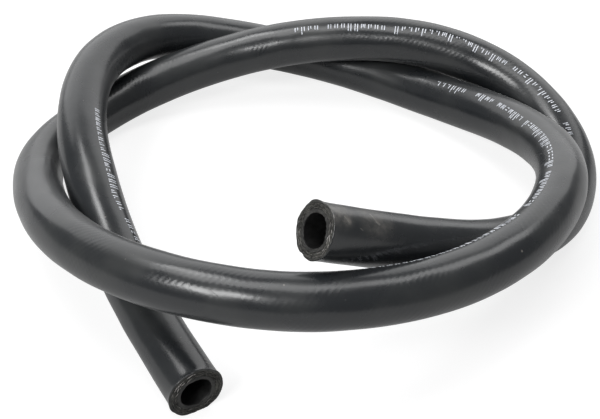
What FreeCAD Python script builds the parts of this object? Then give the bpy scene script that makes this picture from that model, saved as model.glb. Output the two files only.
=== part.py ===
# Braided rubber hose, one metre long, cut at both ends and lying in a loose coil of
# one and three quarter turns. Five bonded layers lie round one bore: the inner tube, a
# textile braid, a thin rubber tie layer, a second braid and the cover.
# Millimetres, +Z up. The origin is on the table, under the middle of the coil.
import FreeCAD, Part
import math
import os

import Sketcher

FOLDER = "parts"

# The driving dimensions, as (name, millimetres). The walls are listed from the bore out.
SIZES = (
    ("bore_diameter", 9.5),
    ("tube_wall", 1.2),
    ("inner_braid_wall", 0.6),
    ("tie_wall", 0.3),
    ("outer_braid_wall", 0.6),
    ("cover_wall", 0.8),
    ("rest_flat_depth", 0.5),
)
WALLS = ("tube_wall", "inner_braid_wall", "tie_wall", "outer_braid_wall", "cover_wall")
LAYERS = ("inner_tube", "inner_braid", "tie_layer", "outer_braid", "cover")

# The hose's route from its front cut end to the one inside the coil, as (x, y, lift).
# Lift is the height over the resting place, counted in hose diameters, because what
# lifts a stretch is the stretch that it lies on.
ROUTE = (
    (-33, -93, 0.01),
    (-52, -63, 0.27),
    (-66, -27, 0.74),
    (-78, 12, 1.18),
    (-78, 51, 1.25),
    (-58, 82, 0.80),
    (-23, 92, 0.14),
    (17, 80, -0.02),
    (51, 54, 0.05),
    (76, 22, 0.60),
    (83, -15, 1.24),
    (69, -53, 1.54),
    (39, -79, 1.66),
    (-1, -88, 1.75),
    (-40, -79, 1.69),
    (-72, -54, 1.31),
    (-89, -18, 0.68),
    (-94, 19, 0.07),
    (-75, 52, -0.03),
    (-42, 70, 0.36),
    (-1, 73, 0.97),
    (42, 69, 1.13),
    (76, 55, 0.62),
    (94, 24, 0.06),
    (88, -12, -0.03),
    (64, -40, 0.53),
    (32, -60, 1.56),
    (1, -76, 2.75),
)

# Each bend takes this share of the shorter of its two runs, which leaves a short
# straight between bends.
BEND_SHARE = 0.45
# Stretches closer than this along the hose, in diameters, are neighbours, not a crossing.
NEIGHBOUR_SPAN = 4.0
SAMPLE_STEP = 2.5
LEAST_GAP = 0.4
VOLUME_TOLERANCE = 0.005


def make_sheet(doc):
    """Put the driving dimensions in a spreadsheet, one alias for each."""
    sheet = doc.addObject("Spreadsheet::Sheet", "Sizes")
    for row, (name, value) in enumerate(SIZES, start=1):
        sheet.set(f"A{row}", name)
        sheet.set(f"B{row}", str(value))
        sheet.setAlias(f"B{row}", name)
    doc.recompute()
    return sheet


def radius_expression(count):
    """The radius outside the first `count` layers, as an expression of the sheet."""
    terms = ["Sizes.bore_diameter / 2"] + [f"Sizes.{wall}" for wall in WALLS[:count]]
    return " + ".join(terms)


def outer_radius(sheet):
    """The hose's outer radius, from the sheet."""
    return sheet.get("bore_diameter") / 2 + sum(sheet.get(wall) for wall in WALLS)


def route_points(sheet):
    """The corner points of the route, at the height that the hose's size gives."""
    radius = outer_radius(sheet)
    rest_height = radius - sheet.get("rest_flat_depth")
    return [FreeCAD.Vector(x, y, rest_height + lift * 2 * radius) for x, y, lift in ROUTE]


def bend(before, corner, after):
    """One bend at a corner: (where it starts, its middle, where it ends, its radius)."""
    inward, outward = corner - before, after - corner
    half_turn = inward.getAngle(outward) / 2
    reach = BEND_SHARE * min(inward.Length, outward.Length)
    inward.normalize()
    outward.normalize()
    radius = reach / math.tan(half_turn)
    to_centre = outward - inward
    to_centre.normalize()
    middle = corner + to_centre * (radius / math.cos(half_turn) - radius)
    return corner - inward * reach, middle, corner + outward * reach, radius


def make_route(doc, sheet):
    """The centre line: straight runs joined by tangent arcs. Returns (object, radii)."""
    points = route_points(sheet)
    edges, radii = [], []
    here = points[0]
    for before, corner, after in zip(points, points[1:], points[2:]):
        start, middle, end, radius = bend(before, corner, after)
        edges.append(Part.LineSegment(here, start).toShape())
        edges.append(Part.Arc(start, middle, end).toShape())
        radii.append(radius)
        here = end
    edges.append(Part.LineSegment(here, points[-1]).toShape())
    route = doc.addObject("Part::Feature", "Route")
    route.Shape = Part.Wire(edges)
    return route, radii


def end_placement(sheet):
    """The front cut face: its centre, with local Z pointing into the hose."""
    points = route_points(sheet)
    into_hose = FreeCAD.Rotation(FreeCAD.Vector(0, 0, 1), points[1] - points[0])
    return FreeCAD.Placement(points[0], into_hose)


def plane_of(body, role):
    """One of a body's own origin planes."""
    return next(f for f in body.Origin.OriginFeatures if f.Role == role)


def make_layer(doc, sheet, route, index):
    """One layer of the wall: a ring swept along the route."""
    name = "".join(word.capitalize() for word in LAYERS[index].split("_"))
    body = doc.addObject("PartDesign::Body", name)
    body.Label = LAYERS[index]
    ring = body.newObject("Sketcher::SketchObject", name + "Ring")
    ring.AttachmentSupport = [(plane_of(body, "XY_Plane"), "")]
    ring.MapMode = "FlatFace"
    ring.AttachmentOffset = end_placement(sheet)
    up = FreeCAD.Vector(0, 0, 1)
    for circle, (side, count) in enumerate((("inside", index), ("outside", index + 1))):
        ring.addGeometry(Part.Circle(FreeCAD.Vector(0, 0, 0), up, 1.0 + circle), False)
        ring.addConstraint(Sketcher.Constraint("Coincident", circle, 3, -1, 1))
        ring.addConstraint(Sketcher.Constraint("Radius", circle, 1.0 + circle))
        ring.renameConstraint(2 * circle + 1, side)
    # the outside first, so that the ring never closes on itself on the way
    ring.setExpression("Constraints.outside", radius_expression(index + 1))
    ring.setExpression("Constraints.inside", radius_expression(index))
    pipe = body.newObject("PartDesign::AdditivePipe", name + "Pipe")
    pipe.Profile = ring
    pipe.Spine = (route, [f"Edge{n}" for n in range(1, len(route.Shape.Edges) + 1)])
    return body


def rest_on_table(doc, sheet, route, cover):
    """The cover pressed flat where the hose lies on the table: only what is above stays."""
    radius = outer_radius(sheet)
    box = route.Shape.BoundBox
    above = doc.addObject("Part::Box", "AboveTable")
    above.Length = box.XLength + 4 * radius
    above.Width = box.YLength + 4 * radius
    above.Height = box.ZMax + 2 * radius
    corner = FreeCAD.Vector(box.XMin - 2 * radius, box.YMin - 2 * radius, 0)
    above.Placement = FreeCAD.Placement(corner, FreeCAD.Rotation())
    at_rest = doc.addObject("Part::Common", "CoverAtRest")
    at_rest.Base = cover
    at_rest.Tool = above
    cover.Label = "cover_before_rest"
    at_rest.Label = "cover"
    return at_rest


def least_self_gap(route, diameter):
    """The least gap between two stretches of the hose, measured on points of the route."""
    count = int(route.Shape.Length / SAMPLE_STEP) + 1
    points = route.Shape.discretize(Number=count)
    apart = int(NEIGHBOUR_SPAN * diameter / SAMPLE_STEP)
    nearest = min(
        a.distanceToPoint(b)
        for i, a in enumerate(points)
        for b in points[i + apart :]
    )
    return nearest - diameter


def check(doc, sheet, route, layers, parts, gap):
    """Stop if a feature failed, a shape is unsound, or the hose runs into itself."""
    for item in doc.Objects:
        if {"Invalid", "Error"} & set(item.State):
            raise RuntimeError(f"{item.Name} did not recompute: {item.State}")
    for part in parts:
        if part.Shape.isNull() or not part.Shape.isValid() or len(part.Shape.Solids) != 1:
            raise RuntimeError(f"{part.Label} is not one sound solid")
    inside = sheet.get("bore_diameter") / 2
    for layer, wall in zip(layers, WALLS):
        outside = inside + sheet.get(wall)
        expected = math.pi * (outside**2 - inside**2) * route.Shape.Length
        error = abs(layer.Shape.Volume / expected - 1)
        print(f"{layer.Label}: volume is off its section times its length by {error:.2e}")
        if error > VOLUME_TOLERANCE:
            raise RuntimeError(f"{layer.Label} has the wrong volume")
        inside = outside
    if gap < LEAST_GAP:
        raise RuntimeError(f"the hose comes within {gap:.2f} mm of itself")


def main():
    doc = FreeCAD.newDocument("Hose")
    sheet = make_sheet(doc)
    route, radii = make_route(doc, sheet)
    layers = [make_layer(doc, sheet, route, index) for index in range(len(LAYERS))]
    doc.recompute()
    cover = rest_on_table(doc, sheet, route, layers[-1])
    doc.recompute()

    diameter = 2 * outer_radius(sheet)
    gap = least_self_gap(route, diameter)
    parts = layers[:-1] + [cover]
    print(f"hose {diameter:.2f} mm across, {route.Shape.Length:.1f} mm long")
    print("bend radii, mm:", ", ".join(f"{radius:.0f}" for radius in radii))
    print(f"least gap to itself: {gap:.2f} mm")
    check(doc, sheet, route, layers, parts, gap)

    os.makedirs(FOLDER, exist_ok=True)
    for part in parts:
        part.Shape.exportStep(os.path.join(FOLDER, f"{part.Label}.step"))


main()
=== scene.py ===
"""The looks of a braided rubber hose, one metre long, cut at both ends, in a loose coil.

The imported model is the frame: one body, and five nodes for the five bonded layers of the
hose's wall. Each layer is built again along the same route with what the real one shows:
the ripple that the braid leaves in the cover, a cover that is pressed flat where it rests,
knife-cut end faces with their yarn ends, a printed line of plain ticks, dust and scuffs.
"""

import logging
import math
from collections.abc import Sequence
from dataclasses import dataclass, field
from enum import Enum
from typing import Any, ClassVar

import bpy
import numpy as np
from mathutils import Euler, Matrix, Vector


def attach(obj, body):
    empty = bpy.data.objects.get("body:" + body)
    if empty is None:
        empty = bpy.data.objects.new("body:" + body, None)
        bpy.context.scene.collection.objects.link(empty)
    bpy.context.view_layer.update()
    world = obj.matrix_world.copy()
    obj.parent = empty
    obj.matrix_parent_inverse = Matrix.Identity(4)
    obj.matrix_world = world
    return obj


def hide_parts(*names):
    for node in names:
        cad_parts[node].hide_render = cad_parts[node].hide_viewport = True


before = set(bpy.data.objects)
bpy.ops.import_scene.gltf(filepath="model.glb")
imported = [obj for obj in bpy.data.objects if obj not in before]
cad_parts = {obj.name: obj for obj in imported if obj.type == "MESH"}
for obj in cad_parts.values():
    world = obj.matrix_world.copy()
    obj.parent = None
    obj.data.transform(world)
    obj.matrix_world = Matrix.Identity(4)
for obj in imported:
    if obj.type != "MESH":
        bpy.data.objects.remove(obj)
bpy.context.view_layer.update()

LOG = logging.getLogger("hose")
MM = 0.001
BODY = "root"

# The hose's route from its front cut end to the one inside the coil: x and y in metres,
# and the lift over the resting height in hose diameters.
ROUTE = (
    (-0.0324, -0.0935, 0.01),
    (-0.0514, -0.0627, 0.27),
    (-0.0669, -0.0273, 0.74),
    (-0.0785, 0.0116, 1.18),
    (-0.0777, 0.0510, 1.25),
    (-0.0578, 0.0821, 0.80),
    (-0.0232, 0.0917, 0.14),
    (0.0164, 0.0794, -0.02),
    (0.0510, 0.0543, 0.06),
    (0.0765, 0.0221, 0.60),
    (0.0838, -0.0149, 1.24),
    (0.0695, -0.0530, 1.54),
    (0.0390, -0.0791, 1.66),
    (-0.0011, -0.0886, 1.75),
    (-0.0400, -0.0795, 1.69),
    (-0.0720, -0.0540, 1.31),
    (-0.0891, -0.0180, 0.68),
    (-0.0940, 0.0190, 0.07),
    (-0.0750, 0.0520, -0.03),
    (-0.0420, 0.0700, 0.36),
    (-0.0011, 0.0728, 0.96),
    (0.0418, 0.0684, 1.11),
    (0.0760, 0.0548, 0.62),
    (0.0939, 0.0241, 0.06),
    (0.0878, -0.0119, -0.03),
    (0.0639, -0.0400, 0.53),
    (0.0320, -0.0600, 1.56),
    (0.0010, -0.0760, 2.75),
)
# The hose's sizes in metres. The middle radius stands for the whole wall where the grain of
# a cut face is drawn round it, and the rest height is how high the centre line lies.
OUTER_RADIUS = 8.25 * MM
MIDDLE_RADIUS = 7.0 * MM
BORE_RADIUS = 4.75 * MM
BORE_SHARE = BORE_RADIUS / OUTER_RADIUS
REST_HEIGHT = 7.75 * MM
# A point that is nearer to a cut than this lies on its face.
ON_FACE = 1e-6

# Names of the attributes that the meshes carry for their materials.
STRAIGHT = "straight"
TONE = "tone"
INK_SIDE = "ink_side"
INKED = "inked"
OUT = "out"
ROUND = "round"

Socket = bpy.types.NodeSocket
Place = tuple[float, float, float]
Colour = tuple[float, float, float]
DEEPEST_BLACK: Colour = (0.004, 0.004, 0.004)
WHITE: Colour = (1.0, 1.0, 1.0)


class HoseEnd(Enum):
    """The two cut ends."""

    FRONT = "front"
    COIL = "coil"


class Layer(Enum):
    """The wall's layers from the bore out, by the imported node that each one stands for."""

    INNER_TUBE = "inner_tube"
    INNER_BRAID = "inner_braid"
    TIE_LAYER = "tie_layer"
    OUTER_BRAID = "outer_braid"
    COVER = "cover"


class Strand(Enum):
    """What stands out of a cut braid."""

    BUNDLE = "bundle"
    FILAMENT = "filament"


# Node trees


class NodeGraph:
    """A node tree with short ways to add nodes and to link them."""

    def __init__(self, tree: bpy.types.NodeTree) -> None:
        """Keep the tree.

        Args:
            tree: The tree that the nodes are added to.
        """
        self.tree = tree

    def feed(self, socket: Socket, value: Any) -> None:
        """Link an input to what feeds it, or give it a value of its own.

        Args:
            socket: The input.
            value: The output that feeds it, or a number, a vector or a colour.
        """
        if isinstance(value, Socket):
            self.tree.links.new(value, socket)
        else:
            socket.default_value = (*value, 1.0) if socket.type == "RGBA" else value

    def add(self, kind: str, inputs: dict[Any, Any] | None = None, **settings: Any) -> Any:
        """Add a node.

        Args:
            kind: The node's type name.
            inputs: Socket name or number, to the value or the socket that feeds it.
            settings: The node's own properties.

        Returns:
            The new node.
        """
        node = self.tree.nodes.new(kind)
        for name, value in settings.items():
            setattr(node, name, value)
        for key, value in (inputs or {}).items():
            self.feed(node.inputs[key], value)
        return node

    def math(self, operation: str, *values: Any, clamp: bool = False) -> Socket:
        """Add a Math node.

        Args:
            operation: The node's operation.
            values: Its inputs in order, as numbers or sockets.
            clamp: Whether the result is kept between 0 and 1.

        Returns:
            The result's socket.
        """
        kind = "ShaderNodeMath"
        node = self.add(kind, dict(enumerate(values)), operation=operation, use_clamp=clamp)
        return node.outputs[0]

    def vector(self, operation: str, *values: Any, out: str = "Vector") -> Socket:
        """Add a Vector Math node.

        Args:
            operation: The node's operation.
            values: Its inputs in order, as vectors or sockets.
            out: The output to return.

        Returns:
            The result's socket.
        """
        kind = "ShaderNodeVectorMath"
        return self.add(kind, dict(enumerate(values)), operation=operation).outputs[out]

    def scale(self, vector: Any, factor: Any) -> Socket:
        """A vector made longer or shorter."""
        inputs = {0: vector, "Scale": factor}
        return self.add("ShaderNodeVectorMath", inputs, operation="SCALE").outputs[0]

    def split(self, vector: Any) -> Any:
        """The parts of a vector, by the names X, Y and Z."""
        return self.add("ShaderNodeSeparateXYZ", {"Vector": vector}).outputs

    def combine(self, x: Any = 0.0, y: Any = 0.0, z: Any = 0.0) -> Socket:
        """A vector made of its parts."""
        return self.add("ShaderNodeCombineXYZ", {"X": x, "Y": y, "Z": z}).outputs[0]


class ShaderGraph(NodeGraph):
    """A material's nodes."""

    def __init__(self, name: str) -> None:
        """Start a material with no nodes.

        Args:
            name: The material's name.
        """
        self.material = bpy.data.materials.new(name)
        self.material.use_nodes = True
        self.material.node_tree.nodes.clear()
        super().__init__(self.material.node_tree)

    def straight(self) -> Socket:
        """The place on the hose as if it were pulled straight, with Z along it."""
        return self.add("ShaderNodeAttribute", attribute_name=STRAIGHT).outputs["Vector"]

    def place(self) -> Socket:
        """The place in the part's frame."""
        return self.add("ShaderNodeTexCoord").outputs["Object"]

    def noise(self, vector: Any, scale: float, detail: float = 3.0, rough: float = 0.55) -> Any:
        """Add a noise texture.

        Args:
            vector: Where it is read.
            scale: How many grains a metre.
            detail: Its octaves.
            rough: How much the finer octaves count.

        Returns:
            The socket of its value.
        """
        inputs = {"Vector": vector, "Scale": scale, "Detail": detail, "Roughness": rough}
        return self.add("ShaderNodeTexNoise", inputs).outputs["Fac"]

    def ramp(self, value: Any, low: float, high: float,
             start: float = 0.0, end: float = 1.0) -> Socket:
        """Map a value smoothly from one range to another.

        Args:
            value: The value's socket.
            low: Where the first range starts.
            high: Where it ends.
            start: What `low` becomes.
            end: What `high` becomes.

        Returns:
            The mapped value's socket.
        """
        inputs = {"Value": value, "From Min": low, "From Max": high}
        inputs |= {"To Min": start, "To Max": end}
        node = self.add("ShaderNodeMapRange", inputs, interpolation_type="SMOOTHSTEP")
        return node.outputs["Result"]

    def mix(self, share: Any, first: Any, second: Any) -> Socket:
        """Mix two colours.

        Args:
            share: How much of the second shows.
            first: The first colour or its socket.
            second: The second colour or its socket.

        Returns:
            The mixed colour's socket.
        """
        inputs = {0: share, 6: first, 7: second}
        return self.add("ShaderNodeMix", inputs, data_type="RGBA").outputs[2]

    def surface(self, colour: Any, roughness: Any, height: Any, depth: float,
                constants: dict[str, float] | None = None) -> bpy.types.Material:
        """Finish the material with one shader.

        Args:
            colour: The base colour or its socket.
            roughness: The roughness or its socket.
            height: The bump's height, from 0 to 1.
            depth: The bump's depth in metres.
            constants: Other inputs of the shader that are the same all over, by name.

        Returns:
            The material.
        """
        bump = self.add("ShaderNodeBump", {"Height": height, "Distance": depth})
        shader = self.add("ShaderNodeBsdfPrincipled", {
            "Base Color": colour, "Roughness": roughness, "Normal": bump.outputs["Normal"],
            **(constants or {}),
        })
        self.add("ShaderNodeOutputMaterial", {"Surface": shader.outputs["BSDF"]})
        return self.material


# Finishes


@dataclass(frozen=True)
class Scratch:
    """A scratch in the cover: a straight line between two places, in metres.

    `dust` is how pale it is, or how dark where it is below nought.
    """

    start: Place
    end: Place
    width: float
    dust: float = 0.8


@dataclass(frozen=True)
class Smudge:
    """A dusty patch on the cover, about one place, in metres. `share` is how dusty it is."""

    place: Place
    radius: float
    share: float


@dataclass(frozen=True)
class CoverFinish:
    """The cover's skin: black rubber with the braid's ripple, a bloom of dust and scuffs."""

    black: Colour = (0.016, 0.018, 0.020)
    bloom: Colour = (0.044, 0.046, 0.044)
    dust: Colour = (0.17, 0.16, 0.145)
    roughness: tuple[float, float] = (0.23, 0.34)
    gloss: ClassVar[dict[str, float]] = {
        "IOR": 1.62, "Coat Weight": 0.22, "Coat Roughness": 0.16,
        "Sheen Weight": 0.16, "Sheen Roughness": 0.28,
    }
    # Grains a metre: of the bloom, the skin, its lumps, the worn patches and the specks.
    bloom_grain: float = 45.0
    skin_grain: float = 2600.0
    lump_grain: float = 330.0
    worn_grain: float = 420.0
    speck_grain: float = 900.0
    # How high the skin's grain and its lumps are, and how pale the specks.
    skin_height: float = 0.14
    lump_height: float = 1.5
    speck_share: float = 0.5
    # The ribs: how far apart, how many round the hose, how high, and how high the second
    # set is against the first.
    braid_pitch: float = 1.84 * MM
    braid_turns: int = 20
    rib_height: float = 0.26
    second_ribs: float = 0.4
    rib_patch_grain: float = 55.0
    relief: float = 0.032 * MM
    # Where along the hose the ribs show most, in metres, and how faint they are elsewhere.
    ribbed: tuple[tuple[float, float], ...] = ((0.43, 0.60), (0.69, 0.89))
    faint: float = 0.22
    # How far outside and inside a ribbed stretch's ends the ribs fade, in metres.
    fade_outside: float = 0.03
    fade_inside: float = 0.02
    smudges: tuple[Smudge, ...] = (
        Smudge((0.0075, -0.0745, 0.0590), 7.0 * MM, 0.70),
        Smudge((0.0180, -0.0700, 0.0526), 8.5 * MM, 0.45),
        Smudge((0.0102, -0.0762, 0.0566), 1.3 * MM, 0.80),
        Smudge((-0.0073, -0.0882, 0.0443), 0.4 * MM, 1.0),
        Smudge((-0.0633, -0.0372, 0.0262), 0.4 * MM, 1.0),
        Smudge((0.0598, -0.0691, 0.0398), 0.5 * MM, 1.0),
    )
    scratches: tuple[Scratch, ...] = (
        Scratch((0.0163, -0.0688, 0.0531), (0.0182, -0.0708, 0.0519), 0.24 * MM, 0.6),
        Scratch((0.0182, -0.0708, 0.0519), (0.01886, -0.07105, 0.05136), 0.34 * MM, 0.7),
        Scratch((0.0091, -0.0754, 0.0576), (0.0102, -0.0762, 0.0566), 0.20 * MM),
        Scratch((0.0134, -0.0757, 0.0537), (0.0150, -0.0760, 0.0526), 0.13 * MM, 0.6),
        Scratch((-0.0301, -0.0869, 0.0146), (-0.0289, -0.0858, 0.0131), 0.20 * MM),
        Scratch((-0.0297, -0.0884, 0.0147), (-0.0282, -0.0878, 0.0136), 0.18 * MM),
        Scratch((-0.0276, -0.0876, 0.0423), (-0.0254, -0.0893, 0.0413), 0.16 * MM, -0.6),
    )

    def braid_ripple(self, graph: ShaderGraph, straight: Any) -> Socket:
        """The braid under the cover: low ribs that run round it both ways.

        Args:
            graph: The nodes.
            straight: The place on the straight hose.

        Returns:
            The ribs' height, about one half.
        """
        parts = graph.split(straight)
        angle = graph.math("ARCTAN2", parts["Y"], parts["X"])
        turn = graph.math("MULTIPLY", angle, float(self.braid_turns))
        along = graph.math("MULTIPLY", parts["Z"], math.tau / self.braid_pitch)
        right = graph.math("SINE", graph.math("ADD", along, turn))
        left = graph.math("SINE", graph.math("SUBTRACT", along, turn))
        both = graph.math("MULTIPLY_ADD", left, self.second_ribs, right)
        return graph.math("MULTIPLY_ADD", both, self.rib_height, 0.5)

    def rib_strength(self, graph: ShaderGraph, straight: Any) -> Socket:
        """How strongly the ribs show: in patches, and most on the ribbed stretches.

        Args:
            graph: The nodes.
            straight: The place on the straight hose.

        Returns:
            What the ribs' height is multiplied by.
        """
        length = graph.split(straight)["Z"]
        shown = self.faint
        for start, end in self.ribbed:
            rise = graph.ramp(length, start - self.fade_outside, start + self.fade_inside)
            fall = graph.ramp(length, end + self.fade_outside, end - self.fade_inside)
            shown = graph.math("MULTIPLY_ADD", rise, fall, shown)
        patches = graph.noise(straight, self.rib_patch_grain, 3.0)
        return graph.math("MULTIPLY", shown, graph.ramp(patches, 0.42, 0.62, 0.10, 1.0))

    def scratch_mask(self, graph: ShaderGraph, place: Any, scratch: Scratch) -> Any:
        """Where one scratch is, from 0 to 1.

        Args:
            graph: The nodes.
            place: The place in the part's frame.
            scratch: The scratch.

        Returns:
            The mask's socket.
        """
        start, end = Vector(scratch.start), Vector(scratch.end)
        run = end - start
        away = graph.vector("SUBTRACT", place, tuple(start))
        share = graph.vector("DOT_PRODUCT", away, tuple(run / run.length_squared), out="Value")
        share = graph.math("MAXIMUM", graph.math("MINIMUM", share, 1.0), 0.0)
        left = graph.vector("SUBTRACT", away, graph.scale(tuple(run), share))
        length = graph.vector("LENGTH", left, out="Value")
        return graph.ramp(length, 1.6 * scratch.width, 0.8 * scratch.width)

    def height(self, graph: ShaderGraph) -> Socket:
        """The skin's height: the braid's ribs, low lumps and a fine grain.

        Args:
            graph: The nodes.

        Returns:
            The height's socket.
        """
        straight = graph.straight()
        ribs = self.braid_ripple(graph, straight)
        height = graph.math("MULTIPLY", ribs, self.rib_strength(graph, straight))
        for grain, share in (
            (self.skin_grain, self.skin_height), (self.lump_grain, self.lump_height),
        ):
            height = graph.math("MULTIPLY_ADD", graph.noise(straight, grain), share, height)
        return height

    def dusted(self, graph: ShaderGraph, place: Any, colour: Any) -> Socket:
        """The colour under its specks and dusty patches.

        Args:
            graph: The nodes.
            place: The place in the part's frame.
            colour: The clean colour.

        Returns:
            The dusty colour.
        """
        specks = graph.ramp(graph.noise(place, self.speck_grain, 2.0), 0.73, 0.78)
        colour = graph.mix(graph.math("MULTIPLY", specks, self.speck_share), colour, self.dust)
        worn = graph.noise(place, self.worn_grain, 4.0, 0.7)
        for smudge in self.smudges:
            away = graph.vector("DISTANCE", place, smudge.place, out="Value")
            near = graph.ramp(away, smudge.radius, 0.3 * smudge.radius)
            share = graph.math("MULTIPLY", near, graph.ramp(worn, 0.35, 0.65, 0.25, 1.0))
            share = graph.math("MULTIPLY", share, smudge.share)
            colour = graph.mix(share, colour, self.dust)
        return colour

    def build(self) -> bpy.types.Material:
        """Make the material.

        Returns:
            The material.
        """
        graph = ShaderGraph("cover_skin")
        place, height = graph.place(), self.height(graph)
        patches = graph.noise(place, self.bloom_grain, 4.0)
        colour = graph.mix(graph.ramp(patches, 0.40, 0.75, 0.0, 0.5), self.black, self.bloom)
        colour = self.dusted(graph, place, colour)
        for scratch in self.scratches:
            mask = self.scratch_mask(graph, place, scratch)
            tint = self.dust if scratch.dust > 0.0 else DEEPEST_BLACK
            share = graph.math("MULTIPLY", mask, abs(scratch.dust))
            colour = graph.mix(share, colour, tint)
            height = graph.math("SUBTRACT", height, mask)
        roughness = graph.ramp(patches, 0.3, 0.7, *self.roughness)
        return graph.surface(colour, roughness, height, self.relief, self.gloss)


@dataclass(frozen=True)
class RubberFinish:
    """Matt cut or moulded rubber, with grain in its colour and in its surface.

    `arcs` is how many times longer the grain is round the hose than across the wall,
    `pit_shade` how much painted shade darkens the hollows between the threads, `hole_grain`
    how many hollows there are to a grain, `patch_grain` how many pale patches a metre, and
    `swing` how far the roughness goes either way.
    """

    name: str
    dark: Colour
    light: Colour
    roughness: float
    grain: float
    relief: float
    arcs: float = 1.0
    pit_shade: float = 0.0
    hole_grain: float = 0.7
    patch_grain: float = 260.0
    grain_share: float = 0.65
    swing: float = 0.08

    def ring_place(self, graph: ShaderGraph) -> Socket:
        """The place on the cut face, drawn together round the ring by `arcs`.

        Args:
            graph: The nodes.

        Returns:
            The place's socket.
        """
        parts = graph.split(graph.straight())
        flat = graph.combine(parts["X"], parts["Y"])
        size = MIDDLE_RADIUS / self.arcs
        drawn = graph.vector("MULTIPLY", graph.vector("NORMALIZE", flat), (size, size, 0.0))
        radius = graph.vector("LENGTH", flat, out="Value")
        return graph.vector("ADD", drawn, graph.combine(z=radius))

    def build(self) -> bpy.types.Material:
        """Make the material.

        Returns:
            The material.
        """
        graph = ShaderGraph(self.name)
        place = graph.place()
        where = self.ring_place(graph) if self.arcs > 1.0 else place
        grain = graph.noise(where, 1.0 / self.grain, 4.0, 0.65)
        patches = graph.noise(place, self.patch_grain)
        patches = graph.math("MULTIPLY", patches, 1.0 - self.grain_share)
        share = graph.math("MULTIPLY_ADD", grain, self.grain_share, patches)
        colour = graph.mix(graph.ramp(share, 0.38, 0.62), self.dark, self.light)
        height = grain
        if self.pit_shade:
            # Painted shade: the hollows between the threads are darkened towards black, and they
            # are also sunk in the bump.
            shaded_pits = graph.ramp(graph.noise(where, self.hole_grain / self.grain, 2.0), 0.56, 0.64)
            shaded_pits = graph.math("MULTIPLY", shaded_pits, self.pit_shade)
            colour = graph.mix(shaded_pits, colour, DEEPEST_BLACK)
            height = graph.math("SUBTRACT", grain, shaded_pits)
        low, high = self.roughness - self.swing, self.roughness + self.swing
        roughness = graph.ramp(grain, 0.3, 0.7, low, high)
        return graph.surface(colour, roughness, height, self.relief)


@dataclass(frozen=True)
class YarnFinish:
    """Cut polyester yarn, from rubber-stained to clean, by each strand's own tone."""

    name: str = "yarn"
    stained: Colour = (0.040, 0.039, 0.034)
    clean: Colour = (0.60, 0.57, 0.55)
    fibre_grain: float = 5200.0
    roughness: float = 0.55
    relief: float = 0.03 * MM
    sheen: float = 0.15

    def build(self) -> bpy.types.Material:
        """Make the material.

        Returns:
            The material.
        """
        graph = ShaderGraph(self.name)
        tone = graph.add("ShaderNodeAttribute", attribute_name=TONE).outputs["Fac"]
        fibres = graph.noise(graph.place(), self.fibre_grain, 2.0)
        share = graph.math("MULTIPLY", tone, graph.ramp(fibres, 0.3, 0.7, 0.6, 1.1), clamp=True)
        colour = graph.mix(share, self.stained, self.clean)
        sheen = {"Sheen Weight": self.sheen}
        return graph.surface(colour, self.roughness, fibres, self.relief, sheen)


@dataclass(frozen=True)
class InkFinish:
    """White printing ink, thin in places."""

    white: Colour = (0.86, 0.89, 0.95)
    thin: Colour = (0.46, 0.48, 0.53)
    wear_grain: float = 900.0
    roughness: float = 0.55
    relief: float = 0.01 * MM

    def build(self) -> bpy.types.Material:
        """Make the material.

        Returns:
            The material.
        """
        graph = ShaderGraph("printing_ink")
        wear = graph.noise(graph.place(), self.wear_grain)
        colour = graph.mix(graph.ramp(wear, 0.52, 0.70), self.white, self.thin)
        return graph.surface(colour, self.roughness, wear, self.relief)


@dataclass(frozen=True)
class TableFinish:
    """The white table: lit as it is, and white where the camera sees it unshaded.

    `white` is what lights the hose from below, `seen` what the camera and the mirrored rays
    see, with the two glows on top. `mottle` is how many faint spots a metre the table has.
    """

    white: float = 0.62
    seen: float = 0.34
    glow: float = 0.79
    mirrored_glow: float = 0.23
    mottle: float = 30.0
    darkest: float = 0.985

    def build(self) -> bpy.types.Material:
        """Make the material.

        Returns:
            The material.
        """
        graph = ShaderGraph("table_white")
        path = graph.add("ShaderNodeLightPath").outputs
        camera = path["Is Camera Ray"]
        mirrored = graph.math("MAXIMUM", path["Is Glossy Ray"], path["Is Transmission Ray"])
        grain = graph.noise(graph.place(), self.mottle)
        grain = graph.ramp(grain, 0.0, 1.0, self.darkest, 1.0)
        colours = []
        for level in (self.white, self.seen):
            value = graph.math("MULTIPLY", grain, level)
            colour = graph.add("ShaderNodeCombineColor", {0: value, 1: value, 2: value})
            colours.append(colour.outputs[0])
        seen = graph.math("MAXIMUM", camera, mirrored)
        shader = graph.add("ShaderNodeBsdfDiffuse", {"Color": graph.mix(seen, *colours)})
        glow = graph.math("MULTIPLY", camera, self.glow)
        glow = graph.math("MULTIPLY_ADD", mirrored, self.mirrored_glow, glow)
        light = graph.add("ShaderNodeEmission", {"Strength": glow})
        both = graph.add("ShaderNodeAddShader", {0: shader.outputs[0], 1: light.outputs[0]})
        graph.add("ShaderNodeOutputMaterial", {"Surface": both.outputs[0]})
        return graph.material


# The centre line


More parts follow.
